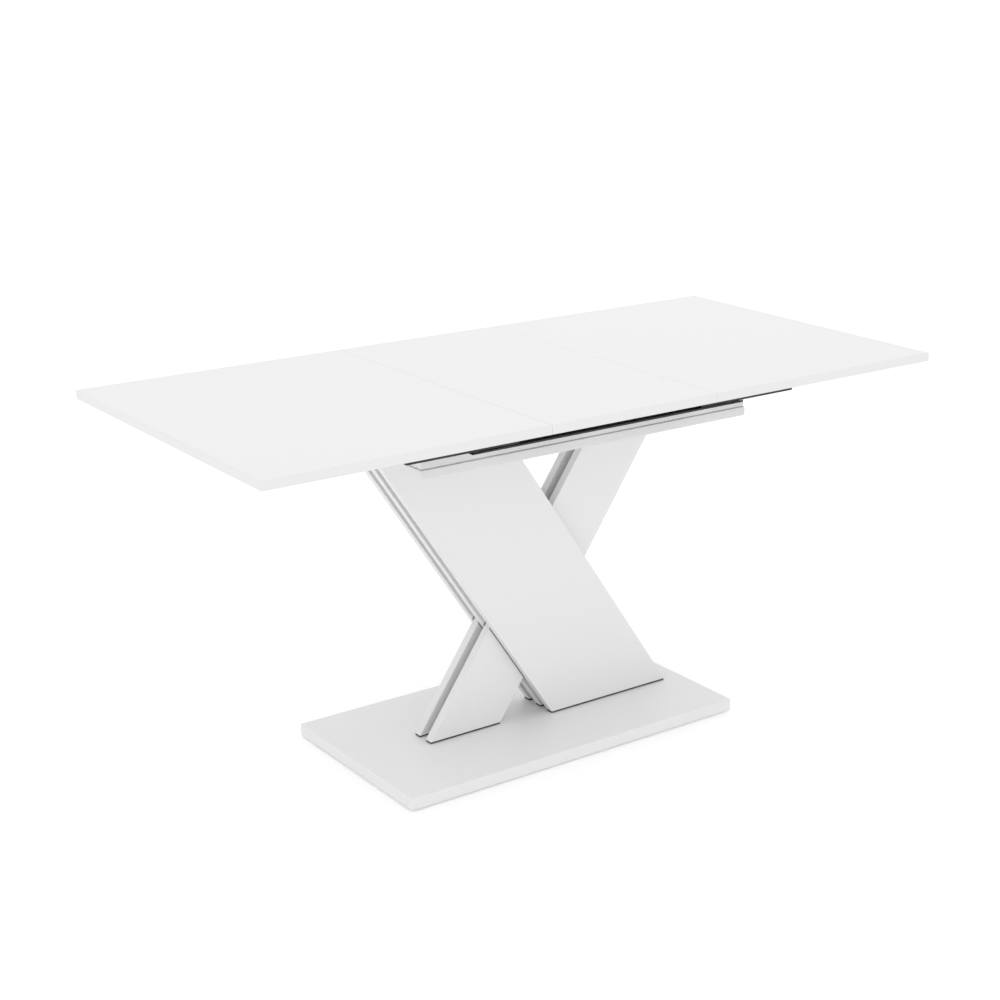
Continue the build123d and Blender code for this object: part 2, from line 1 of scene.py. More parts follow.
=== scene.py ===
import json
from math import cos, pi, radians, tan
import bpy
import bmesh
import numpy as np
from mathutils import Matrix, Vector


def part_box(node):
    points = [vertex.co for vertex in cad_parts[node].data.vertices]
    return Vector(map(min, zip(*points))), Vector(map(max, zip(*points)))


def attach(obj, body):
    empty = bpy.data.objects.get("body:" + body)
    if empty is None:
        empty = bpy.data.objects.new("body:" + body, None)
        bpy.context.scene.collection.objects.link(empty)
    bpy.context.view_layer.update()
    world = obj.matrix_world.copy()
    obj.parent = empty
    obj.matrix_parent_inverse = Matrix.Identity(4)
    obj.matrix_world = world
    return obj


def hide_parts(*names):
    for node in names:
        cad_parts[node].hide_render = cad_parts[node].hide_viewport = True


# Extendable dining table on crossed panels. Metres, with X along the table, Z up and the floor at zero.
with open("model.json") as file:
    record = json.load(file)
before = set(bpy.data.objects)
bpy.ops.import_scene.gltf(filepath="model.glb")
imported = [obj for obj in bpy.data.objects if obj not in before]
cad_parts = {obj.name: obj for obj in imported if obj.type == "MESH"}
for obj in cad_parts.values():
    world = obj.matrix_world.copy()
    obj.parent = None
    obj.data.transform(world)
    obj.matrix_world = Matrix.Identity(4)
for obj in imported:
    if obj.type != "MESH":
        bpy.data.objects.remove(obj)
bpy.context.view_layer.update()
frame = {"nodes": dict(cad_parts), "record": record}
mm = 0.001
print("frame loaded:", len(frame["nodes"]), "nodes")


# Shader maths: a wire is a socket that can be added and multiplied, and each sum adds its Math node
class Wire:
    def __init__(self, finish, socket):
        self.finish = finish
        self.socket = socket

    def maths(self, operation, first, second):
        return self.finish.make("ShaderNodeMath", {"operation": operation}, {0: first, 1: second})

    def __add__(self, other):
        return self.maths("ADD", self, other)

    def __radd__(self, other):
        return self.maths("ADD", other, self)

    def __mul__(self, other):
        return self.maths("MULTIPLY", self, other)

    def __rmul__(self, other):
        return self.maths("MULTIPLY", other, self)


class Finish:
    # One material. make() adds any node, sets it, fills its sockets and returns the output asked for.
    def __init__(self, name):
        self.material = bpy.data.materials.new(name)
        self.material.use_nodes = True
        self.tree = self.material.node_tree
        self.tree.nodes.clear()
        self.place = self.make("ShaderNodeTexCoord", {}, {}, "Object")

    def make(self, kind, settings, inputs, output=0):
        node = self.tree.nodes.new(kind)
        for key, value in settings.items():
            if key == "stops":
                for element, (position, grey) in zip(node.color_ramp.elements, value):
                    element.position = position
                    element.color = (grey, grey, grey, 1)
            else:
                setattr(node, key, value)
        for key, value in inputs.items():
            if isinstance(value, Wire):
                self.tree.links.new(value.socket, node.inputs[key])
            else:
                node.inputs[key].default_value = value
        return Wire(self, node.outputs[output]) if node.outputs else None

    def noise(self, scale, detail=2, place=None):
        inputs = {"Vector": place or self.place, "Scale": scale, "Detail": detail}
        return self.make("ShaderNodeTexNoise", {}, inputs)

    def stretched(self, scale):
        return self.make("ShaderNodeMapping", {}, {"Vector": self.place, "Scale": scale})

    def ramp(self, value, low, high):
        return self.make("ShaderNodeValToRGB", {"stops": ((low, 0), (high, 1))}, {0: value})

    def blend(self, factor, first, second):
        inputs = {0: factor, 6: (*first, 1), 7: (*second, 1)}
        return self.make("ShaderNodeMix", {"data_type": "RGBA"}, inputs, 2)

    def bump(self, height, strength, distance):
        return self.make("ShaderNodeBump", {}, {"Height": height, "Strength": strength, "Distance": distance})

    def surface(self, values):
        shader = self.make("ShaderNodeBsdfPrincipled", {}, values)
        self.make("ShaderNodeOutputMaterial", {}, {"Surface": shader})
        return self.material


# Finishes. Each scale is in noise cells to a metre, three of them where the noise is drawn out along an axis.
def grey(level):
    return level, level, level


# The gloss edge is a darker grey than the gloss top, and the satin panels, edges and rails are darker greys
# than the satin boards. These steps are painted shade for faces that get less light; they are not a different
# white.
glossSettings = {"light": grey(0.832), "dull": grey(0.820), "roughness": 0.07}
glossEdgeShadedSettings = {"light": grey(0.777), "dull": grey(0.765), "roughness": 0.12}
satinSettings = {"light": grey(0.821), "dull": grey(0.806), "roughness": 0.36}
panelShadedSettings = {"light": grey(0.803), "dull": grey(0.790), "roughness": 0.38}
edgeShadedSettings = {"light": grey(0.790), "dull": grey(0.775), "roughness": 0.40}
railShadedSettings = {"light": grey(0.785), "dull": grey(0.770), "roughness": 0.42}
blackNylonSettings = {"light": grey(0.040), "dull": grey(0.055), "shine": 0.25}
whiteNylonSettings = {"light": (0.72, 0.72, 0.69), "dull": (0.66, 0.66, 0.63), "shine": 0.5}
glossMarks = {"clouds": 2.6, "wiping": (7, 30, 30), "scuffs": (60, 900, 900), "peel": 260, "wiped": 0.035,
              "scuffed": 0.05, "strength": 0.03, "depth": 0.2 * mm, "bending": 1.5}
satinMarks = {"clouds": 3.5, "fleck": 1400, "cloudShare": 0.6, "fleckShare": 0.4, "rougher": 0.1,
              "strength": 0.12, "depth": 0.2 * mm, "bending": 1.48}
steelSettings = {"dark": (0.010, 0.010, 0.011), "dusty": (0.028, 0.028, 0.030), "grain": 2200, "dust": 35,
                 "roughness": 0.38, "rougher": 0.16, "strength": 0.35, "depth": 0.1 * mm}
zincSettings = {"bright": (0.70, 0.71, 0.74), "dark": (0.52, 0.53, 0.56), "patches": 420,
                "lines": (900, 900, 4000), "roughness": 0.24, "rougher": 0.16, "strength": 0.15,
                "depth": 0.1 * mm}
nylonMarks = {"flow": (40, 160, 160), "spark": 3000, "roughness": 0.42, "rougher": 0.12, "strength": 0.1,
              "depth": 0.1 * mm}
beechSettings = {"pale": (0.62, 0.41, 0.24), "dark": (0.40, 0.24, 0.12), "streaks": (9, 160, 160),
                 "flecks": (180, 900, 900), "roughness": 0.5, "rougher": 0.15, "strength": 0.25,
                 "depth": 0.3 * mm}


def glossWhite(name, light, dull, roughness):
    # Colour: a pale mix by broad, faint clouds. Roughness: the set value plus a little of the wiping marks
    # and of the fine scuffs, both drawn out along the table. Normal: a very shallow orange peel.
    f, s = Finish(name), glossMarks
    clouds = f.noise(s["clouds"], 3)
    wiping = f.ramp(f.noise(1, 3, f.stretched(s["wiping"])), 0.35, 0.75)
    peel = f.noise(s["peel"], 1)
    scuffs = f.ramp(f.noise(1, 4, f.stretched(s["scuffs"])), 0.68, 0.8)
    values = {
        "Base Color": f.blend(clouds, light, dull),
        "Roughness": roughness + wiping * s["wiped"] + scuffs * s["scuffed"],
        "Normal": f.bump(peel, s["strength"], s["depth"]),
        "IOR": s["bending"],
    }
    return f.surface(values)


def satinWhite(name, light, dull, roughness):
    # Colour: a pale mix by broad clouds and a fine fleck. Roughness: the set value plus a little of the
    # fleck. Normal: the pearl stipple pressed into a satin laminate, under a millimetre wide.
    f, s = Finish(name), satinMarks
    fleck = f.noise(s["fleck"], 2)
    clouds = f.noise(s["clouds"], 3)
    values = {
        "Base Color": f.blend(clouds * s["cloudShare"] + fleck * s["fleckShare"], light, dull),
        "Roughness": roughness + fleck * s["rougher"],
        "Normal": f.bump(fleck, s["strength"], s["depth"]),
        "IOR": s["bending"],
    }
    return f.surface(values)


def blackSteel(dark, dusty, grain, dust, roughness, rougher, strength, depth):
    # Colour: near black, paler by half the dust and a fifth of the grain. Roughness: the set value plus the
    # grain. Normal: powder-coat dimples, which are the grain.
    f = Finish("blackPowderCoat")
    dimples = f.noise(grain, 2)
    settled = f.ramp(f.noise(dust, 4), 0.45, 0.8)
    values = {
        "Base Color": f.blend(settled * 0.5 + dimples * 0.2, dark, dusty),
        "Roughness": roughness + dimples * rougher,
        "Normal": f.bump(dimples, strength, depth),
    }
    return f.surface(values)


def zincSteel(bright, dark, patches, lines, roughness, rougher, strength, depth):
    # Colour: blue-grey patches of bright zinc. Roughness: the set value plus the patches. Normal: fine
    # drawn lines.
    f = Finish("brightZinc")
    spangle = f.noise(patches, 3)
    drawn = f.noise(1, 2, f.stretched(lines))
    values = {
        "Base Color": f.blend(spangle, bright, dark),
        "Metallic": 1.0,
        "Roughness": roughness + spangle * rougher,
        "Normal": f.bump(drawn, strength, depth),
    }
    return f.surface(values)


def nylon(name, light, dull, shine):
    # Colour: an even plastic with faint flow marks. Roughness: the set value plus a matt spark texture.
    # Normal: the spark texture.
    f, s = Finish(name), nylonMarks
    flow = f.noise(1, 3, f.stretched(s["flow"]))
    spark = f.noise(s["spark"], 1)
    values = {
        "Base Color": f.blend(flow, light, dull),
        "Roughness": s["roughness"] + spark * s["rougher"],
        "Normal": f.bump(spark, s["strength"], s["depth"]),
        "Specular IOR Level": shine,
    }
    return f.surface(values)


def beechWood(pale, dark, streaks, flecks, roughness, rougher, strength, depth):
    # Colour: tan to brown by long streaks along X, darker where fine flecks cross them. Roughness: the set
    # value plus the streaks. Normal: the streaks and flecks again, shallow.
    f = Finish("planedBeech")
    grain = f.noise(1, 4, f.stretched(streaks))
    rays = f.ramp(f.noise(1, 2, f.stretched(flecks)), 0.55, 0.7)
    values = {
        "Base Color": f.blend(grain * 0.8 + rays * 0.3, pale, dark),
        "Roughness": roughness + grain * rougher,
        "Normal": f.bump(grain + rays * 0.4, strength, depth),
    }
    return f.surface(values)


finishes = {
    "gloss_white_top": glossWhite("glossWhiteTop", **glossSettings),
    "gloss_white_edge": glossWhite("glossWhiteEdgePaintedShade", **glossEdgeShadedSettings),
    "satin_white_board": satinWhite("satinWhiteBoard", **satinSettings),
    "satin_white_panel": satinWhite("satinWhitePanelPaintedShade", **panelShadedSettings),
    "satin_white_edge": satinWhite("satinWhiteEdgePaintedShade", **edgeShadedSettings),
    "white_rail": satinWhite("whiteRailPaintedShade", **railShadedSettings),
    "beech": beechWood(**beechSettings),
    "black_steel": blackSteel(**steelSettings),
    "zinc_steel": zincSteel(**zincSettings),
    "black_nylon": nylon("blackNylon", **blackNylonSettings),
    "white_nylon": nylon("whiteNylon", **whiteNylonSettings),
}
slotOf = {part["node"]: part["material_slot"] for part in frame["record"]["subparts"]}
bodyOf = {node: body for body, nodes in frame["record"]["behaviour"]["bodies"].items() for node in nodes}
for name, node in frame["nodes"].items():
    node.data.materials.clear()
    node.data.materials.append(finishes[slotOf[name]])
print("finishes made:", len(finishes))


# Surfaces: a shell is an array of points and its list of faces
mergeReach = 0.01 * mm


def gridFaces(rows, columns, closed):
    # Quads between neighbouring rows and columns; columns always wrap round, rows only where closed
    down = np.arange(rows if closed else rows - 1)[:, None]
    along = np.arange(columns)[None, :]
    nextRow = (down + 1) % rows
    nextColumn = (along + 1) % columns
    corners = (down * columns + along, down * columns + nextColumn, nextRow * columns + nextColumn,
               nextRow * columns + along)
    return np.stack([c.ravel() for c in corners], axis=1).tolist()


def tube(points, closed=False):
    # A shell from rows of points. An open one gets a flat face over each end row.
    rows, columns = points.shape[:2]
    faces = gridFaces(rows, columns, closed)
    if not closed:
        faces += [list(range(columns)), list(range((rows - 1) * columns, rows * columns))]
    return points.reshape(-1, 3), faces


def shellMesh(name, shells):
    # One mesh from several shells, with their doubled points merged and their faces outwards
    offsets = np.cumsum([0] + [len(points) for points, _ in shells])
    points = np.concatenate([points for points, _ in shells])
    faces = [[int(start) + i for i in face] for start, (_, some) in zip(offsets, shells) for face in some]
    mesh = bpy.data.meshes.new(name)
    mesh.from_pydata(points.tolist(), [], faces)
    merged = bmesh.new()
    merged.from_mesh(mesh)
    bmesh.ops.remove_doubles(merged, verts=merged.verts, dist=mergeReach)
    bmesh.ops.recalc_face_normals(merged, faces=merged.faces)
    merged.to_mesh(mesh)
    merged.free()
    return mesh


def addObject(name, data):
    thing = bpy.data.objects.new(name, data)
    bpy.context.collection.objects.link(thing)
    return thing


def makePiece(name, shells, node, sharp=32):
    # One object from its shells, which stands for a CAD node and takes its body, slot and finish
    mesh = shellMesh(name, shells)
    mesh.shade_smooth()
    mesh.set_sharp_from_angle(angle=radians(sharp))
    mesh.materials.append(finishes[slotOf[node]])
    piece = addObject(name, mesh)
    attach(piece, bodyOf[node])
    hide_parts(node)
    return piece


def cutHoles(piece, shells):
    # Takes the shells out of the piece with a Boolean, and keeps the result as its mesh
    mesh = shellMesh("cutter", shells)
    cutter = addObject("cutter", mesh)
    boolean = piece.modifiers.new("holes", "BOOLEAN")
    boolean.object = cutter
    boolean.operation = "DIFFERENCE"
    boolean.solver = "EXACT"
    bpy.context.view_layer.update()
    solved = bpy.data.meshes.new_from_object(piece.evaluated_get(bpy.context.evaluated_depsgraph_get()))
    piece.modifiers.clear()
    piece.data = solved
    bpy.data.objects.remove(cutter)
    bpy.data.meshes.remove(mesh)


def islandBoxes(node):
    # Lowest and highest corner of each separate solid of a node. Each vertex starts with its own number, and
    # the lower number at an edge's ends spreads to both until nothing changes.
    merged = bmesh.new()
    merged.from_mesh(frame["nodes"][node].data)
    bmesh.ops.remove_doubles(merged, verts=merged.verts, dist=mergeReach)
    mesh = bpy.data.meshes.new("merged")
    merged.to_mesh(mesh)
    merged.free()
    points = np.empty(3 * len(mesh.vertices), np.float32)
    ends = np.empty(2 * len(mesh.edges), np.int32)
    mesh.vertices.foreach_get("co", points)
    mesh.edges.foreach_get("vertices", ends)
    bpy.data.meshes.remove(mesh)
    points, ends = points.reshape(-1, 3).astype(float), ends.reshape(-1, 2)
    island = np.arange(len(points))
    while (island[ends[:, 0]] != island[ends[:, 1]]).any():
        lower = island[ends].min(axis=1)
        np.minimum.at(island, ends[:, 0], lower)
        np.minimum.at(island, ends[:, 1], lower)
    groups = [points[island == number] for number in np.unique(island)]
    boxes = [(group.min(axis=0), group.max(axis=0)) for group in groups]
    return sorted(boxes, key=lambda box: tuple(np.round(box[0], 4)))


def footOf(low, high, lift=0):
    # The middle of a solid's lower end
    return (low[0] + high[0]) / 2, (low[1] + high[1]) / 2, low[2] + lift


def roundedOutline(corners, radii, steps=4, margin=0.06 * mm):
    # A polygon with rounded corners. Each arc is its start swung about the centre by a share of the turn,
    # and a point just outside each tangent keeps the flats flat.
    c = np.array(corners) @ np.array([1, 1j])
    r = np.broadcast_to(np.array(radii, float), c.shape)
    back = np.roll(c, 1) - c
    ahead = np.roll(c, -1) - c
    back, ahead = back / abs(back), ahead / abs(ahead)
    half = abs(np.angle(ahead / back)) / 2
    centre = c + (back + ahead) / abs(back + ahead) * r / np.sin(half)
    start, end = c + back * r / np.tan(half), c + ahead * r / np.tan(half)
    turn = np.angle((end - centre) / (start - centre))
    share = np.linspace(0, 1, steps + 1)
    arcs = centre[:, None] + (start - centre)[:, None] * np.exp(1j * turn[:, None] * share)
    loops = np.column_stack([start + back * margin, arcs, end + ahead * margin]).ravel()
    return np.stack([loops.real, loops.imag], axis=1)


def lathe(profile, columns=32):
    # A turned shape about Z: each profile point, as radius and height, swept round a full turn
    r, z = np.array(profile).T
    angle = np.linspace(0, 2 * pi, columns, endpoint=False)
    x, y = r[:, None] * np.cos(angle), r[:, None] * np.sin(angle)
    return np.stack([x, y, np.broadcast_to(z[:, None], x.shape)], axis=2)


def standing(points, spot, axis):
    # Turns a shape that stands on Z so that it stands on the axis at the spot
    turn = np.array(Vector((0, 0, 1)).rotation_difference(Vector(axis)).to_matrix())
    return points @ turn.T + np.array(spot)


def roundedBlock(low, high, radius, steps=3):
    # A block with round edges: the inner block's corner plus the radius times a unit normal, whose two
    # angles run over each quarter in turn
    low, high = np.array(low), np.array(high)
    quarter = np.linspace(0, pi / 2, steps + 1)
    around = (np.arange(4)[:, None] * pi / 2 + quarter).ravel()
    signX = np.repeat([1, -1, -1, 1], steps + 1)
    signY = np.repeat([1, 1, -1, -1], steps + 1)
    rise = np.concatenate([quarter - pi / 2, quarter])[:, None]
    signZ = np.repeat([-1, 1], steps + 1)[:, None]
    inner = (high - low) / 2 - radius
    middle = (high + low) / 2
    x = middle[0] + signX * inner[0] + radius * np.cos(rise) * np.cos(around)
    y = middle[1] + signY * inner[1] + radius * np.cos(rise) * np.sin(around)
    z = middle[2] + signZ * inner[2] + radius * np.sin(rise) + 0 * around
    return tube(np.stack([x, y, z], axis=2))


def extruded(outline, start, end, axes):
    # An outline carried straight along one axis. axes says which coordinates take the outline's two
    # and the length, as (across, up, along).
    points = np.zeros((2, len(outline), 3))
    points[:, :, axes[0]] = outline[:, 0]
    points[:, :, axes[1]] = outline[:, 1]
    points[0, :, axes[2]] = start
    points[1, :, axes[2]] = end
    return tube(points)


def holeShell(spot, axis, radius, length, columns=24):
    # A round bar, to be cut out of a piece
    return tube(standing(lathe([(radius, 0), (radius, length)], columns), spot, axis))


# Edge bands. A leaf's band stops just short of the seam, so that the two don't touch with the table closed.
bandSettings = {"thick": 1 * mm, "soften": 0.7 * mm, "corner": 1 * mm, "steps": 4, "tiny": 0.02 * mm,
                "hold": 0.3 * mm, "short": 0.05 * mm, "lean": radians(34.5)}
seamPins = {"spots": (-250 * mm, 0, 250 * mm), "radius": 4 * mm, "hole": 4.2 * mm, "reach": 2 * mm}


def bandSection(thick, height, soften, steps):
    # Section of an edge band, as inset and height: square at the board, softened outside
    tiny = bandSettings["tiny"]
    corners = [(thick, 0), (0, 0), (0, height), (thick, height)]
    return roundedOutline(corners, [tiny, soften, soften, tiny], steps)


def ringBand(low, high, soften):
    # A band right round a board: the corner's centre plus the corner radius less the inset, times a
    # direction that swings through each quarter
    s = bandSettings
    section = bandSection(s["thick"], high[2] - low[2], soften, s["steps"])
    quarter = np.linspace(0, pi / 2, s["steps"] + 1)
    angle = np.concatenate([[0], quarter, [pi / 2]])
    shift = np.zeros(len(angle))
    shift[0], shift[-1] = -s["hold"], s["hold"]
    swing = (np.arange(4)[:, None] * pi / 2 + angle).ravel()
    offset = np.tile(shift, 4)
    signs = np.repeat([[1, 1], [-1, 1], [-1, -1], [1, -1]], len(angle), axis=0)
    reach = (np.array(high[:2]) - np.array(low[:2])) / 2 - s["corner"]
    middle = (np.array(high[:2]) + np.array(low[:2])) / 2
    direction = np.stack([np.cos(swing), np.sin(swing)], axis=1)
    tangent = np.stack([-np.sin(swing), np.cos(swing)], axis=1)
    centre = middle + signs * reach + tangent * offset[:, None]
    flat = centre[None] + (s["corner"] - section[:, 0])[:, None, None] * direction[None]
    height = np.broadcast_to((low[2] + section[:, 1])[:, None, None], (*flat.shape[:2], 1))
    return tube(np.concatenate([flat, height], axis=2), closed=True)


pinHeight = (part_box("insert_board")[0][2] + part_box("insert_board")[1][2]) / 2
bandPieces = {}
for node, name, soften, shortLow, shortHigh in (
    ("left_leaf_edging", "leftLeafBand", 0.5 * mm, 0, bandSettings["short"]),
    ("right_leaf_edging", "rightLeafBand", 0.5 * mm, bandSettings["short"], 0),
    ("insert_edging", "insertBand", 0.5 * mm, 0, 0),
    ("base_plate_edging", "basePlateBand", 0.8 * mm, 0, 0),
    ("deck_edging", "deckBand", 0.8 * mm, 0, 0),
):
    low, high = np.array(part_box(node))
    low[0] += shortLow
    high[0] -= shortHigh
    bandPieces[node] = makePiece(name, [ringBand(low, high, soften)], node)


def seamHoles(node, x, radius):
    # Through holes for the seam pins in one side of a band
    reach = seamPins["reach"]
    spots = [(x - reach, y, pinHeight) for y in seamPins["spots"]]
    cutHoles(bandPieces[node], [holeShell(spot, (1, 0, 0), radius, 2 * reach) for spot in spots])


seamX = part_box("insert_edging")[1][0]
seamHoles("left_leaf_edging", -seamX, seamPins["hole"])
seamHoles("insert_edging", seamX, seamPins["hole"])
seamHoles("insert_edging", -seamX, seamPins["radius"])
seamHoles("right_leaf_edging", seamX, seamPins["radius"])


def slopingBands(nodes, edging, name):
    # Bands on a group of panels: each section stands on a panel's sloping edge and is cut level at both
    # ends, so a point's X is the edge's X at that height, less the inset over the cosine of the lean
    s = bandSettings
    shells = []
    for node in nodes:
        low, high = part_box(node)
        section = bandSection(s["thick"], high[1] - low[1], s["soften"], s["steps"])
        shift = (high[2] - low[2]) * tan(s["lean"]) * (1 if "narrow" in node else -1)
        width = (high[0] - low[0]) - abs(shift)
        foot = low[0] if shift > 0 else low[0] - shift
        for start, outward in ((foot, -1), (foot + width, 1)):
            x = start + outward * (s["thick"] - section[:, 0]) / cos(s["lean"])
            points = np.zeros((2, len(section), 3))
            points[0] = np.stack([x, low[1] + section[:, 1], 0 * x + low[2]], axis=1)
            points[1] = np.stack([x + shift, low[1] + section[:, 1], 0 * x + high[2]], axis=1)
            shells.append(tube(points))
    makePiece(name, shells, edging)


widePanels = [f"wide_panel_{at}" for at in ("front", "middle", "rear")]
narrowPanels = [f"narrow_panel_{at}" for at in ("front", "rear")]
slopingBands(widePanels, "wide_panel_edging", "widePanelBands")
slopingBands(narrowPanels, "narrow_panel_edging", "narrowPanelBands")
print("edge bands made")

# Slides, bent from sheet: sharp little radii at the free edges, and wall-thick ones outside each bend. The
# gaps are cut into the lip, each with its middle and its length for the front channel.
channelSettings = {"bend": 2.2 * mm, "inside": 0.5 * mm, "free": 0.4 * mm, "wall": 2 * mm, "lip": 4.3 * mm,
                   "flange": 12 * mm, "gaps": ((-320 * mm, 18 * mm), (304 * mm, 11 * mm)), "gapRise": 6 * mm,
                   "screws": (-280 * mm, 0, 280 * mm), "screwHeight": 732 * mm, "screwIn": 22 * mm,
                   "screwRadius": 2 * mm, "screwLength": 8 * mm}
runnerSettings = {"bend": 2.6 * mm, "inside": 0.5 * mm, "free": 0.4 * mm, "leg": 3 * mm, "hook": 2 * mm,
                  "foot": 20 * mm, "reach": 13 * mm, "rise": 13.5 * mm}


def channelShell(side, low, high):
    s = channelSettings
    outer, back = (abs(high[1]), abs(low[1])) if side > 0 else (abs(low[1]), abs(high[1]))
    wall, bottom, top = s["wall"], low[2], high[2]
    lip, flange = bottom + s["lip"], back + s["flange"]
    corners = [
        (outer, bottom), (outer, lip), (outer - wall, lip), (outer - wall, bottom + wall),
        (back + wall, bottom + wall), (back + wall, top - wall), (flange, top - wall), (flange, top),
        (back, top), (back, bottom),
    ]
    bend, inside, free = s["bend"], s["inside"], s["free"]
    outline = roundedOutline(corners, [bend, free, free, inside, inside, inside, free, free, bend, bend])
    return extruded(outline * (side, 1), low[0], high[0], (1, 2, 0))


def runnerShell(side, low, high):
    s = runnerSettings
    outer, bottom, top = max(abs(low[1]), abs(high[1])), low[2], high[2]
    foot, leg, floorLine = outer - s["foot"], s["leg"], bottom + s["hook"]
    hookBack, hookTop = outer - s["reach"], bottom + s["rise"]
    corners = [
        (outer, bottom), (outer, top), (foot, top), (foot, top - leg), (outer - leg, top - leg),
        (outer - leg, floorLine), (hookBack + s["hook"], floorLine), (hookBack + s["hook"], hookTop),
        (hookBack, hookTop), (hookBack, bottom),
    ]
    bend, inside, free = s["bend"], s["inside"], s["free"]
    radii = [bend, bend, free, free, inside, inside, inside, free, free, bend * 0.8]
    outline = roundedOutline(corners, radii)
    return extruded(outline * (side, 1), low[0], high[0], (1, 2, 0))


def channelCuts(side, outer, bottom):
    # The gaps in the lip, as blocks that go through it, and the screw holes in the back
    s = channelSettings
    cuts = []
    for middle, length in s["gaps"]:
        x = -side * middle
        cutLow = (x - length / 2, outer - s["wall"], bottom - 1 * mm)
        cutHigh = (x + length / 2, outer + s["wall"], bottom + s["gapRise"])
        cuts.append(roundedBlock(cutLow, cutHigh, 0.3 * mm, 2))
    for x in s["screws"]:
        spot = (x, outer - side * s["screwIn"], s["screwHeight"])
        cuts.append(holeShell(spot, (0, side, 0), s["screwRadius"], s["screwLength"]))
    return cuts


for side, label in ((-1, "front"), (1, "rear")):
    node = f"slide_channel_{label}"
    low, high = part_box(node)
    channel = makePiece(f"slideChannel_{label}", [channelShell(side, low, high)], node)
    cutHoles(channel, channelCuts(side, side * max(abs(low[1]), abs(high[1])), low[2]))
    for hand in ("left", "right"):
        node = f"{hand}_runner_{label}"
        low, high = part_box(node)
        makePiece(f"{hand}Runner_{label}", [runnerShell(side, low, high)], node)
print("slides made")

# Fasteners
up = (0, 0, 1)
screwSettings = {"base": 3.5 * mm, "frame": 2 * mm, "leaf": 2 * mm, "panHead": 2 * mm, "tip": 0.2 * mm}
boltSettings = {"radius": 3 * mm, "head": 2 * mm, "headRadius": 7.5 * mm, "socket": 2 * mm, "depth": 1.8 * mm,
                "chamfer": 1 * mm, "tipRadius": 2.2 * mm}
padSettings = {"thick": 3 * mm, "short": 0.1 * mm, "soften": 0.8 * mm, "nail": 1.5 * mm, "tip": 1.2 * mm}
# Profiles as radius and height, in millimetres
glideProfile = ((0, 0), (13.6, 0), (14.5, 0.4), (15, 1.2), (15, 2.5), (14.6, 3), (1.5, 3), (1.5, 13), (0, 15))
pinNose = ((0, 0), (2.6, 0), (3.5, 0.6), (4, 2))


def socketRadius(kind, size, angle):
    # Polar outline of a driver's socket. Hexagon: the flat's distance over the cosine of the angle from
    # it. Cross: the nearer of a bar's side, at half its width over the sine, and its end.
    if kind == "hex":
        return size / np.cos((angle + pi / 6) % (pi / 3) - pi / 6)
    width = size * 0.28
    upright = np.minimum(width / np.maximum(abs(np.sin(angle)), 0.01), size)
    level = np.minimum(width / np.maximum(abs(np.cos(angle)), 0.01), size)
    return np.maximum(upright, level)


def driven(spot, axis, kind, size, depth, crown, profile, columns=48):
    # A screw or bolt whose head faces against the axis. Rings run out from the socket's floor to its rim,
    # where the socket's outline gives way to the head's circles.
    angle = np.linspace(0, 2 * pi, columns, endpoint=False)
    socket = socketRadius(kind, size, angle)
    rings = [0 * socket, socket * 0.8, socket]
    heights = [crown + depth, crown + depth, crown]
    for radius, height in profile:
        rings.append(0 * socket + radius)
        heights.append(height)
    r = np.array(rings)
    z = np.array(heights)[:, None] + 0 * r
    points = np.stack([r * np.cos(angle), r * np.sin(angle), z], axis=2)
    return tube(standing(points, spot, axis))


def shank(radius, length):
    # Profile of a screw's shank, from under the head to the tip
    return [(radius, length - radius * 1.5), (screwSettings["tip"], length)]


def sunkScrew(spot, radius, length):
    head = 1.6 * radius
    profile = [(head * 0.97, 0), (head, 0.05 * radius), (radius, radius)] + shank(radius, length)
    return driven(spot, up, "cross", head * 0.62, radius * 0.8, 0, profile)


def panScrew(spot, radius, length):
    # The head is a dome: its radius by the cosine of an angle, its height by a share of the sine
    head, tall = 1.5 * radius, screwSettings["panHead"]
    angles = radians(1) * np.array([70, 50, 30, 10, 0])
    dome = [(head * cos(t), -tall * (0.35 + 0.65 * np.sin(t))) for t in angles]
    profile = dome + [(head, 0), (radius, 0)] + shank(radius, length)
    return driven(spot, up, "cross", head * 0.5, tall * 0.6, -tall, profile)


def crossingBolt(low, high):
    # Goes in from the rear, so its head faces +Y
    s = boltSettings
    radius, head, wide = s["radius"], s["head"], s["headRadius"]
    face = high[1] - head
    length = face - low[1]
    profile = [(wide - 0.9 * mm, -head), (wide - 0.3 * mm, -0.9 * head), (wide, -0.65 * head), (wide, 0),
               (radius, 0), (radius, length - s["chamfer"]), (s["tipRadius"], length)]
    spot = ((low[0] + high[0]) / 2, face, (low[2] + high[2]) / 2)
    return driven(spot, (0, -1, 0), "hex", s["socket"], s["depth"], -head, profile)


def turned(profile, low, high, columns):
    # A turned shape on the lower end of a solid
    return tube(standing(lathe(profile, columns), footOf(low, high), up))


def baseGlide(low, high):
    return turned([(r * mm, z * mm) for r, z in glideProfile], low, high, 40)


def glidePad(low, high):
    # A flat-topped pad on a nail, with its top just under the CAD pad's
    s = padSettings
    radius, nail, length = (high[0] - low[0]) / 2, s["nail"], high[2] - low[2]
    under, top = length - s["thick"], length - s["short"]
    profile = [(0, 0), (s["tip"], 1 * mm), (nail, 3 * mm), (nail, under), (radius, under),
               (radius, top - s["soften"]), (radius - s["soften"], top), (0, top)]
    return turned(profile, low, high, 28)


def seamPin(low, high):
    # A dowel along X with a bullet nose at its left end
    length = high[0] - low[0]
    nose = [(r * mm, x * mm) for r, x in pinNose]
    profile = nose + [(seamPins["radius"], length - 1 * mm), (3.2 * mm, length), (0, length)]
    spot = (low[0], (low[1] + high[1]) / 2, (low[2] + high[2]) / 2)
    return tube(standing(lathe(profile, 28), spot, (1, 0, 0)))


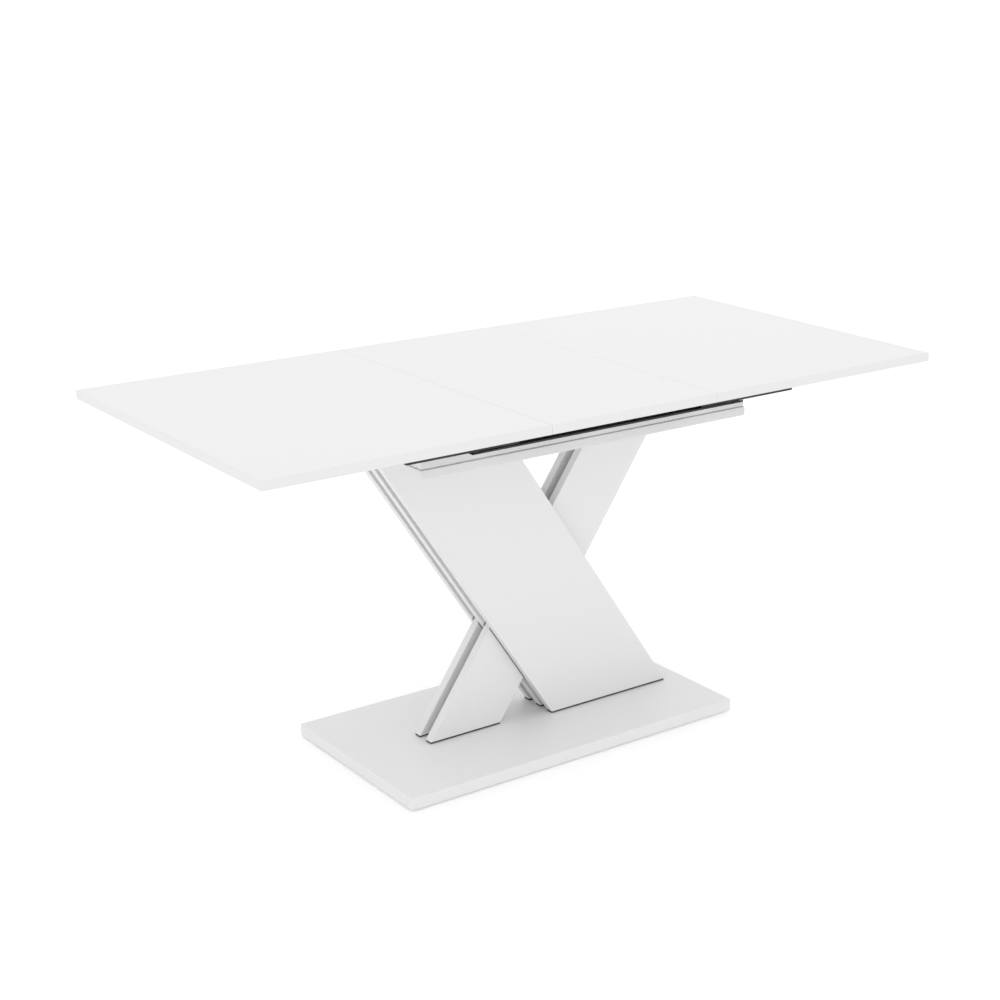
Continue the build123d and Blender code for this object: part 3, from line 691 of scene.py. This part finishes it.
def perSolid(name, node, shape, sharp=32):
    # A piece with one shell for each separate solid of a node
    makePiece(name, [shape(low, high) for low, high in islandBoxes(node)], node, sharp)


def sunkAt(radius):
    return lambda low, high: sunkScrew(footOf(low, high), radius, high[2] - low[2])


def panAt(radius):
    head = screwSettings["panHead"]
    return lambda low, high: panScrew(footOf(low, high, head), radius, high[2] - low[2] - head)


perSolid("baseScrews", "base_screws", sunkAt(screwSettings["base"]))
perSolid("frameScrews", "frame_screws", sunkAt(screwSettings["frame"]))
for hand in ("left", "right"):
    perSolid(f"{hand}LeafScrews", f"{hand}_leaf_screws", panAt(screwSettings["leaf"]))
perSolid("crossingBolts", "crossing_bolts", crossingBolt)
perSolid("baseGlides", "base_glides", baseGlide, 50)
perSolid("glidePads", "glide_pads", glidePad)
perSolid("rightLeafPins", "right_leaf_pins", seamPin)
perSolid("insertPins", "insert_pins", seamPin)

# Frame rails, each a rounded board on a narrower plinth, which leaves the shadow groove above the deck. The
# counts say how many grooves the plinth is set in along X and Y, from the rail's low and high corners.
plinthSettings = {"groove": 2 * mm, "rounding": 0.7 * mm, "edge": 0.2 * mm}
plinthInsets = {
    "front": ((1, 1, 0), (1, 0, 0)), "rear": ((1, 0, 0), (1, 1, 0)),
    "left": ((1, 0, 0), (0, 0, 0)), "right": ((0, 0, 0), (1, 0, 0)),
}
for label, (lowInset, highInset) in plinthInsets.items():
    node = f"frame_rail_{label}"
    low, high = np.array(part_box(node))
    groove, rounding = plinthSettings["groove"], plinthSettings["rounding"]
    board = roundedBlock(low + (0, 0, groove), high, rounding)
    plinthLow = low + groove * np.array(lowInset)
    plinthHigh = high - groove * np.array(highInset)
    plinthHigh[2] = low[2] + groove + rounding
    plinth = roundedBlock(plinthLow, plinthHigh, plinthSettings["edge"], 2)
    makePiece(f"frameRail_{label}", [board, plinth], node)

# Plain blocks, with the radius of their edges in millimetres
# The foot strips are the shims the panels stand on, in black nylon from their slot. Their black also darkens
# the gap under each panel's foot as painted shade.
softBlocks = {
    "slide_bearers": ("slideBearers", 1.2), "crossbar_cleats": ("crossbarCleats", 1.2),
    "sync_crossbar": ("syncCrossbar", 1), "left_rack_mount": ("leftRackMount", 0.8),
    "right_rack_mount": ("rightRackMount", 0.8), "left_leaf_sliders": ("leftSliders", 0.6),
    "right_leaf_sliders": ("rightSliders", 0.6), "foot_strips": ("footStrips", 0.4),
}
for node, (name, radius) in softBlocks.items():
    makePiece(name, [roundedBlock(low, high, radius * mm) for low, high in islandBoxes(node)], node)
print("fasteners and blocks made")

# Floor, light and camera
floorSettings = {"reach": 30, "colour": (*grey(0.98), 1), "roughness": 0.9, "specular": 0.1, "glow": 0.12}
lampSettings = {"place": (-3.5, -5.0, 4.5), "target": (0, 0, 0.5), "size": (3.0, 2.5), "power": 18}
cameraSettings = {"place": (-2.24084, -3.06271, 1.69333), "azimuth": -35.544, "elevation": 12.167,
                  "lens": 69.035, "shift": (0.0014, -0.18)}


def makeFloor(reach, colour, roughness, specular, glow):
    mesh = bpy.data.meshes.new("floor")
    corners = [(-reach, -reach, 0), (reach, -reach, 0), (reach, reach, 0), (-reach, reach, 0)]
    mesh.from_pydata(corners, [], [(0, 1, 2, 3)])
    values = {"Base Color": colour, "Roughness": roughness, "Specular IOR Level": specular,
              "Emission Color": (1, 1, 1, 1), "Emission Strength": glow}
    mesh.materials.append(Finish("paleFloor").surface(values))
    addObject("floor", mesh)


def makeWorld():
    world = bpy.data.worlds.new("studio")
    bpy.context.scene.world = world
    world.use_nodes = True
    background = world.node_tree.nodes["Background"]
    background.inputs["Color"].default_value = (1, 1, 1, 1)
    background.inputs["Strength"].default_value = 1.0


def makeLamp(place, target, size, power):
    lamp = bpy.data.lights.new("keyLight", "AREA")
    lamp.shape = "RECTANGLE"
    lamp.size, lamp.size_y = size
    lamp.energy = power
    holder = addObject("keyLight", lamp)
    holder.location = place
    holder.rotation_mode = "QUATERNION"
    holder.rotation_quaternion = (Vector(target) - Vector(place)).to_track_quat("-Z", "Y")


def makeCamera(place, azimuth, elevation, lens, shift):
    # The camera looks back along its direction from the table: azimuth from -Y, elevation above level
    a, e = radians(azimuth), radians(elevation)
    back = Vector((np.sin(a) * cos(e), -cos(a) * cos(e), np.sin(e)))
    data = bpy.data.cameras.new("camera")
    data.lens = lens
    data.sensor_width = 36
    data.shift_x, data.shift_y = shift
    data.dof.use_dof = False
    camera = addObject("camera", data)
    camera.location = place
    camera.rotation_mode = "QUATERNION"
    camera.rotation_quaternion = (-back).to_track_quat("-Z", "Y")
    bpy.context.scene.camera = camera


makeFloor(**floorSettings)
makeWorld()
makeLamp(**lampSettings)
makeCamera(**cameraSettings)
bpy.context.scene.view_settings.view_transform = "Standard"
print("stage set")
